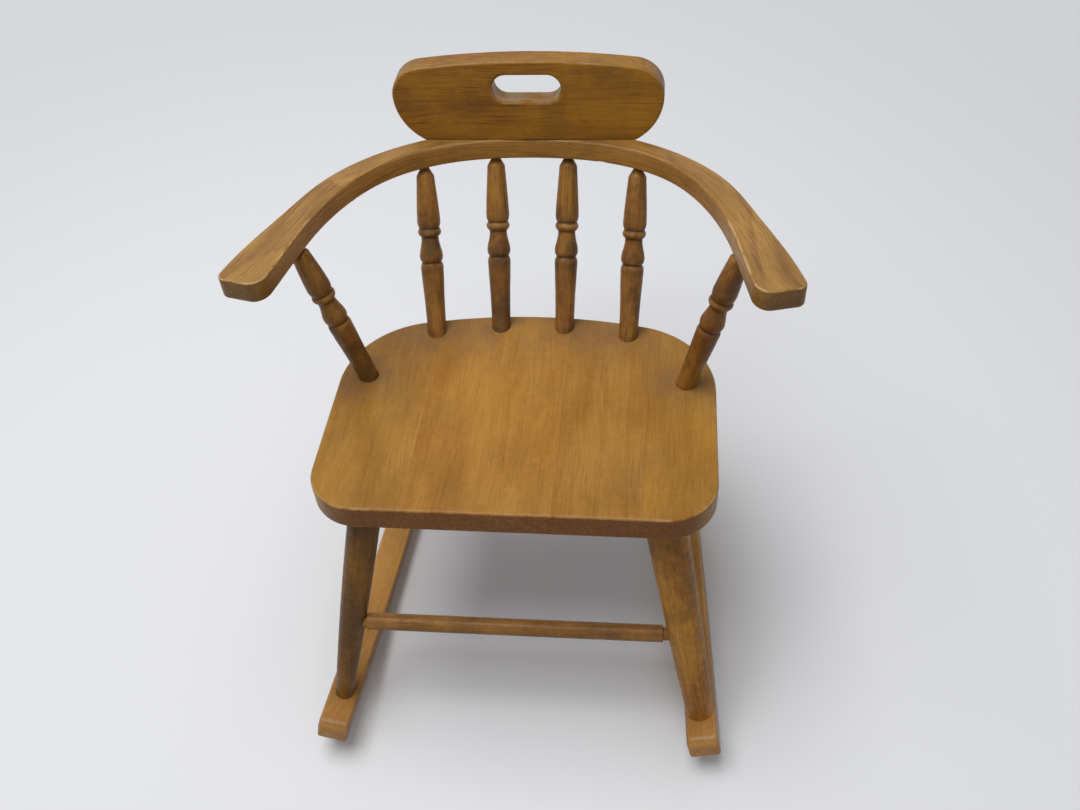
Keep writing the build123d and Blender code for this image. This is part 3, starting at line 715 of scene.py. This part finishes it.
# The left front leg's darker tones are partly a painted shade, and the right front leg's paler ones partly a
# painted light
LEG_TONES = {
    "front_leg_left": (srgb(146, 100, 38), srgb(86, 55, 23)),
    "front_leg_right": (srgb(210, 150, 62), srgb(156, 100, 38)),
    "rear_leg_left": (srgb(160, 114, 44), srgb(116, 76, 30)),
    "rear_leg_right": (srgb(160, 114, 44), srgb(116, 76, 30)),
    "front_stretcher": (srgb(182, 130, 64), srgb(138, 92, 42)),
    "rear_stretcher": (srgb(160, 116, 50), srgb(120, 82, 36)),
}
for order, (name, (low, high)) in enumerate(LEG_ENDS.items()):
    axis = (Vector(high) - Vector(low)).normalized()
    finish_node(name, wood(
        name + "_maple",
        lambda tree: board_place(tree, Vector(low), axis, 0.9 * order, 71.0 * order),
        pale=LEG_TONES[name][0],
        deep=LEG_TONES[name][1],
        scratch_strength=0.5 if name == "front_leg_left" else 0.15,
        line=srgb(66, 42, 16),
        ring_strength=0.2,
        fibre_strength=0.3,
        fleck_strength=0.4,
        streak_strength=0.35,
        grime_strength=0.4,
        cloud_strength=1.0,
        ring_width=6.0,
    ))

LEG_FEET = [low for name, (low, high) in LEG_ENDS.items() if "leg" in name]
LEG_FOOT_RADIUS = 0.0115


def rocker_soil_and_shade(tree):
    """Smudges of dirt and painted shade round the legs' feet, and noses knocked and handled darker."""
    joints = joint_rings_and_shade(tree, LEG_FEET, LEG_FOOT_RADIUS, 0.25, 0.02, 0.2)
    return maths(tree, "MAXIMUM", joints, ramp(tree, along_y(tree), -0.285, -0.262, 0.3, 0.0))


def rocker_painted_light_and_shade(tree):
    """Paler towards the back, under and behind the seat, with a painted light on the cut ends and a painted
    shade on the sides.
    """
    along = ramp(tree, along_y(tree), -0.22, -0.06, 0.95, 1.4)
    ends = ramp(tree, facing(tree, (0, 1, 0)), 0.4, 0.95, 1.0, 1.6)
    sides = ramp(tree, facing(tree, ACROSS), 0.4, 0.9, 1.0, 0.72)
    return maths(tree, "MULTIPLY", along, maths(tree, "MULTIPLY", ends, sides))


ROCKER_TOE = math.radians(4.4)
ROCKER_LEAN = math.radians(12.0)
ROCKER_MIDDLE_X = 0.181
for name, side in (("rocker_left", -1), ("rocker_right", 1)):
    run = Vector((-side * math.sin(ROCKER_TOE), math.cos(ROCKER_TOE), 0))
    lean = Vector((-side * math.sin(ROCKER_LEAN), 0, math.cos(ROCKER_LEAN)))
    finish_node(name, wood(
        name + "_maple",
        lambda tree: board_place(tree, Vector((side * ROCKER_MIDDLE_X, 0, 0)), run, 0.4, 37.0 + 50.0 * side),
        grain=run,
        broad=run.cross(lean),
        wear_and_highlight=0.2,
        soil_and_painted_light_at=rocker_soil_and_shade,
        tone_at=rocker_painted_light_and_shade,
        end_share=0.4,
        coat=0.3,
        pale=srgb(198, 146, 78),
        deep=srgb(168, 112, 46),
        line=srgb(96, 52, 22),
        ring_strength=0.12,
        fibre_strength=0.16,
        fleck_strength=0.1,
        streak_strength=0.15,
        grime_strength=0.15,
    ))

# ---------------------------------------------------------------- arm bow

# The right half's edges, from the middle of the back to the hand rest's tip, and their runs there
BOW_INNER_EDGE = [
    (0, BOW_BACK_Y), (0.106, 0.1635), (0.150, 0.135), (0.180, 0.095), (0.200, 0.048), (0.213, -0.006),
]
BOW_OUTER_EDGE = [
    (0, 0.2055), (0.114, 0.182), (0.175, 0.142), (0.206, 0.105), (0.232, 0.050), (0.257, -0.010),
]
BOW_TIP_INNER = (0.225, -0.066)
BOW_TIP_OUTER = (0.271, -0.055)
BOW_INNER_RUN = (0.2, -1.0)
BOW_OUTER_RUN = (0.25, -1.0)
BOW_INNER_CORNER = 0.015
BOW_OUTER_CORNER = 0.009
BOW_EASE = 0.0025
BOW_STATIONS = 600
ROWS_ACROSS = 8
ARC_POINTS = 14


def fair_curve(points, start_run, end_run, steps=24):
    """A smooth curve through points, with its directions at both ends, as close points."""
    points = np.array(points, float)
    spans = np.linalg.norm(np.diff(points, axis=0), axis=1)
    count = len(points)
    matrix = np.eye(count)
    runs = np.zeros_like(points)
    runs[0] = np.array(start_run) / np.linalg.norm(start_run)
    runs[-1] = np.array(end_run) / np.linalg.norm(end_run)
    for i in range(1, count - 1):
        before, after = spans[i - 1], spans[i]
        matrix[i, i - 1:i + 2] = after, 2 * (before + after), before
        runs[i] = 3 * (
            after / before * (points[i] - points[i - 1]) + before / after * (points[i + 1] - points[i])
        )
    runs = np.linalg.solve(matrix, runs)
    share = np.linspace(0, 1, steps, endpoint=False)[:, None]
    pieces = []
    for i, span in enumerate(spans):
        a, b = points[i], points[i + 1]
        pieces.append(
            (1 + 2 * share) * (1 - share) ** 2 * a
            + share * (1 - share) ** 2 * span * runs[i]
            + share**2 * (3 - 2 * share) * b
            + share**2 * (share - 1) * span * runs[i + 1]
        )
    return np.vstack([*pieces, points[-1:]])


def round_corner(edge, towards, radius, turn):
    """Ends an edge in an arc onto the line from its last point towards another point."""
    corner = edge[-1]
    line = (np.array(towards) - corner) / np.linalg.norm(np.array(towards) - corner)
    runs = np.gradient(edge, axis=0)
    runs /= np.linalg.norm(runs, axis=1)[:, None]
    inward = turn * np.stack([-runs[:, 1], runs[:, 0]], axis=1)
    line_inward = np.array([-line[1], line[0]])
    line_inward *= np.sign(line_inward @ -runs[-1])
    centres = edge + inward * radius
    clear = (centres - corner) @ line_inward - radius
    last = int(np.argmax(clear < 0))
    centre = centres[last - 1]
    start = edge[last - 1] - centre
    end = corner + line * ((centre - corner) @ line) - centre
    angle = math.acos(np.clip(start @ end / np.linalg.norm(start) / np.linalg.norm(end), -1, 1))
    shares = np.linspace(0, 1, ARC_POINTS)[1:, None]
    arc = (np.sin((1 - shares) * angle) * start + np.sin(shares * angle) * end) / math.sin(angle)
    return np.vstack([edge[:last], centre + arc])


def mirrored_run(half):
    """The whole run of an edge, from the left tip round the back to the right tip."""
    return np.vstack([half[:0:-1] * (-1, 1), half])


def evenly(run, count):
    """A run's points again, evenly spaced."""
    lengths = np.concatenate([[0], np.cumsum(np.linalg.norm(np.diff(run, axis=0), axis=1))])
    wanted = np.linspace(0, lengths[-1], count)
    return np.stack([np.interp(wanted, lengths, run[:, i]) for i in (0, 1)], axis=1)


def bow_place(x, y, depth):
    """The point this deep under the bow's top, along its own thickness."""
    return on_pitched_plane(BOW_TOP_HEIGHT, x, y) - PITCH_UP * depth


def eased_rail(name, inner, outer, place, thickness, ease):
    """A flat rail between two edge runs, its arrises eased all round; place sets a point and its depth."""
    stations, rows = len(inner), ROWS_ACROSS
    share = np.linspace(0, 1, rows + 1)[1:-1, None]
    right_end = inner[-1] + share * (outer[-1] - inner[-1])
    left_end = outer[0] + share * (inner[0] - outer[0])
    loop = np.vstack([inner, right_end, outer[::-1], left_end])
    size = len(loop)
    run = np.roll(loop, -1, axis=0) - np.roll(loop, 1, axis=0)
    run /= np.linalg.norm(run, axis=1)[:, None]
    inward = np.stack([-run[:, 1], run[:, 0]], axis=1)

    # The sides, from the top's border over the eased arrises down to the underside's border
    turns = np.radians(np.linspace(0, 90, 6))
    section = [(ease * (1 - math.sin(t)), ease * (1 - math.cos(t))) for t in turns]
    section += [(0.0, thickness * half) for half in (0.35, 0.65)]
    section += [(inset, thickness - depth) for inset, depth in section[5::-1]]
    points = []
    for inset, depth in section:
        points += [place(x, y, depth) for x, y in loop + inward * inset]
    faces = []
    for level in range(len(section) - 1):
        upper, lower = level * size, (level + 1) * size
        faces += [
            (lower + i, lower + (i + 1) % size, upper + (i + 1) % size, upper + i) for i in range(size)
        ]

    # The top and the underside, each a grid across the rail
    for level, flip in ((0, 1), (len(section) - 1, -1)):
        base, depth = level * size, section[level][1]
        border = loop + inward * section[level][0]
        grid = np.zeros((stations, rows + 1), int)
        grid[:, 0] = base + np.arange(stations)
        grid[:, rows] = base + stations + rows - 1 + np.arange(stations)[::-1]
        grid[-1, 1:rows] = base + stations + np.arange(rows - 1)
        grid[0, 1:rows] = base + size - 1 - np.arange(rows - 1)
        for station in range(1, stations - 1):
            start, end = border[grid[station, 0] - base], border[grid[station, rows] - base]
            for row in range(1, rows):
                grid[station, row] = len(points)
                points.append(place(*(start + (end - start) * row / rows), depth))
        for station in range(stations - 1):
            for row in range(rows):
                corners = (
                    grid[station, row], grid[station + 1, row],
                    grid[station + 1, row + 1], grid[station, row + 1],
                )
                faces.append(tuple(int(corner) for corner in corners[::flip]))
    mesh = bpy.data.meshes.new(name)
    mesh.from_pydata(points, [], faces)
    mesh.shade_smooth()
    piece = bpy.data.objects.new(name, mesh)
    bpy.context.scene.collection.objects.link(piece)
    return piece


# Out on the hand rests the bow's eased edges' abrasion and painted highlight grow to their full
HAND_RESTS = ((0.2, 0, 0), (0.205, 0, 0))


def bow_painted_light(tree):
    """A painted light: paler along the sides than on top, and darker round the hand rests' ends."""
    sides = ramp(tree, along_y(tree), -0.05, -0.03, 0.85, 1.25)
    return ramp(tree, facing(tree, PITCH_UP), 0.35, 0.9, sides, 0.97)


BOW_WOOD = wood(
    "bow_maple",
    attribute_place,
    end_attribute="end_grain",
    end_share=0.5,
    broad=PITCH_UP,
    wear_and_highlight=0.12,
    worn_and_highlit_at=HAND_RESTS,
    tone_at=bow_painted_light,
    coat=0.2,
    pale=srgb(184, 138, 68),
    deep=srgb(150, 106, 46),
    line=srgb(92, 56, 22),
    ring_width=3.2,
    ring_strength=0.4,
    fibre_strength=0.45,
    streak_strength=0.12,
    grime_strength=0.18,
)

inner_half = fair_curve([*BOW_INNER_EDGE, BOW_TIP_INNER], (1, 0), BOW_INNER_RUN)
inner_half = round_corner(inner_half, BOW_TIP_OUTER, BOW_INNER_CORNER, 1)
outer_half = fair_curve([*BOW_OUTER_EDGE, BOW_TIP_OUTER], (1, 0), BOW_OUTER_RUN)
outer_half = round_corner(outer_half, BOW_TIP_INNER, BOW_OUTER_CORNER, -1)
inner_run = evenly(mirrored_run(inner_half), BOW_STATIONS)
outer_run = evenly(mirrored_run(outer_half), BOW_STATIONS)
bow = eased_rail("bent_arm_bow", inner_run, outer_run, bow_place, BOW_THICKNESS, BOW_EASE)
bow.data.materials.append(BOW_WOOD)


def follow_grain(piece, line):
    """Stores the grain place of a piece whose grain follows a line, and how far it shows end grain."""
    mesh = piece.data
    place = np.zeros(len(mesh.vertices) * 3, np.float32)
    mesh.vertices.foreach_get("co", place)
    place = place.reshape(-1, 3)
    normals = np.zeros(len(mesh.vertices) * 3, np.float32)
    mesh.vertices.foreach_get("normal", normals)
    normals = normals.reshape(-1, 3)
    starts, steps = line[:-1], np.diff(line, axis=0)
    lengths = np.linalg.norm(steps, axis=1)
    travelled = np.concatenate([[0], np.cumsum(lengths)[:-1]])
    offsets = place[:, None, :2] - starts[None]
    share = np.einsum("ijk,jk->ij", offsets, steps) / lengths**2
    share[:, 1:-1] = share[:, 1:-1].clip(0, 1)
    share[:, 0] = share[:, 0].clip(None, 1)
    share[:, -1] = share[:, -1].clip(0, None)
    gaps = offsets - share[..., None] * steps[None]
    best = np.argmin(np.linalg.norm(gaps, axis=2), axis=1)
    rows = np.arange(len(place))
    run = steps[best] / lengths[best, None]
    gap = gaps[rows, best]
    side = run[:, 0] * gap[:, 1] - run[:, 1] * gap[:, 0]
    along = travelled[best] + share[rows, best] * lengths[best]
    up = place[:, 2] + place[:, 1] * math.tan(PITCH)
    grain = np.stack([side, up, along], axis=1) / MM
    stored = mesh.attributes.new("grain", "FLOAT_VECTOR", "POINT")
    stored.data.foreach_set("vector", grain.astype(np.float32).ravel())
    ends = np.abs(np.einsum("ij,ij->i", run, normals[:, :2]))
    stored = mesh.attributes.new("end_grain", "FLOAT", "POINT")
    stored.data.foreach_set("value", ends.astype(np.float32))


def chip_edge(piece, start, end, bite, reach):
    """Breaks a splinter from the bow's lower inner edge, between two x places."""
    mesh = piece.data
    for vertex in mesh.vertices:
        x, y, z = vertex.co
        if not start < x < end or y < 0:
            continue
        depth = (BOW_TOP_HEIGHT - y * math.tan(PITCH) - z) * math.cos(PITCH)
        inset = y - np.interp(x, inner_run[:, 0], inner_run[:, 1])
        share = (x - start) / (end - start)
        steep = min(share * 6, (1 - share) * 3, 1) * (0.85 + 0.15 * math.sin(share * 17))
        limit = BOW_THICKNESS - bite * steep * max(0, 1 - inset / reach)
        if depth > limit:
            vertex.co += PITCH_UP * (depth - limit)


chip_edge(bow, start=0.070, end=0.082, bite=0.0017, reach=0.007)
follow_grain(bow, (inner_run[::8] + outer_run[::8]) / 2)
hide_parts("arm_bow")
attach(bow, BODY)

# ---------------------------------------------------------------- floor, light and camera

BACKDROP = srgb(226, 228, 232)
FLOOR_REACH = 9.0
FLOOR_CORNERS = [(x * FLOOR_REACH, y * FLOOR_REACH, 0) for x, y in ((-1, -1), (1, -1), (1, 1), (-1, 1))]
floor_mesh = bpy.data.meshes.new("floor")
floor_mesh.from_pydata(FLOOR_CORNERS, [], [(0, 1, 2, 3)])
floor = bpy.data.objects.new("floor", floor_mesh)
bpy.context.scene.collection.objects.link(floor)
paint = bpy.data.materials.new("floor_paint")
paint.use_nodes = True
tree = paint.node_tree
tree.nodes.clear()

# Pale where it is seen, duller in the light it throws back, and lost in the backdrop far away
seen = seen_directly(tree)
shade = mix_colours(tree, seen, srgb(150, 146, 140), srgb(250, 251, 253))
painted = add(tree, "ShaderNodeBsdfDiffuse", {"Color": shade})
distance = vector_maths(tree, "LENGTH", object_place(tree))
far_away = maths(tree, "MULTIPLY", ramp(tree, distance, 0.7, 3.2), seen)
haze = add(tree, "ShaderNodeEmission", {"Color": BACKDROP, "Strength": 1.0})
shown = add(tree, "ShaderNodeMixShader", {0: far_away, 1: painted.outputs[0], 2: haze.outputs[0]})
add(tree, "ShaderNodeOutputMaterial", {0: shown.outputs[0]})
floor_mesh.materials.append(paint)

world = bpy.data.worlds.new("studio")
bpy.context.scene.world = world
world.use_nodes = True
tree = world.node_tree
tree.nodes.clear()

# The backdrop is seen, duller overhead, where only reflections reach, and the light is even
light = add(tree, "ShaderNodeBackground", {"Color": srgb(250, 251, 255), "Strength": 0.32})
upward = split(tree, add(tree, "ShaderNodeTexCoord").outputs["Generated"])["Z"]
wall = mix_colours(tree, ramp(tree, upward, 0.66, 0.76), BACKDROP, srgb(120, 121, 124))
backdrop = add(tree, "ShaderNodeBackground", {"Color": wall, "Strength": 1.0})
both = add(tree, "ShaderNodeMixShader", {0: seen_directly(tree), 1: light.outputs[0], 2: backdrop.outputs[0]})
add(tree, "ShaderNodeOutputWorld", {"Surface": both.outputs[0]})


def lamp(name, place, target, size, power):
    """A rectangular lamp that shines at the target."""
    data = bpy.data.lights.new(name, "AREA")
    data.shape = "RECTANGLE"
    data.size, data.size_y = size
    data.energy = power
    made = bpy.data.objects.new(name, data)
    made.location = place
    made.rotation_euler = (Vector(target) - Vector(place)).to_track_quat("-Z", "Y").to_euler()
    bpy.context.scene.collection.objects.link(made)


lamp("ceiling_light", (-0.5, 0.0, 2.6), (0, 0, 0.3), (2.2, 1.6), 43.0)

camera_data = bpy.data.cameras.new("camera")
camera_data.sensor_fit = "HORIZONTAL"
camera_data.sensor_width = 36.0
camera_data.lens = 35.58
camera = bpy.data.objects.new("camera", camera_data)
YAW, DOWN, ROLL = (math.radians(angle) for angle in (8.97, 47.41, -5.08))
camera.matrix_world = (
    Matrix.Translation((0.137, -0.775, 1.1216))
    @ Matrix.Rotation(YAW, 4, "Z")
    @ Matrix.Rotation(math.pi / 2 - DOWN, 4, "X")
    @ Matrix.Rotation(ROLL, 4, "Z")
)
bpy.context.scene.collection.objects.link(camera)
bpy.context.scene.camera = camera
bpy.context.scene.view_settings.view_transform = "Standard"

bpy.context.view_layer.update()
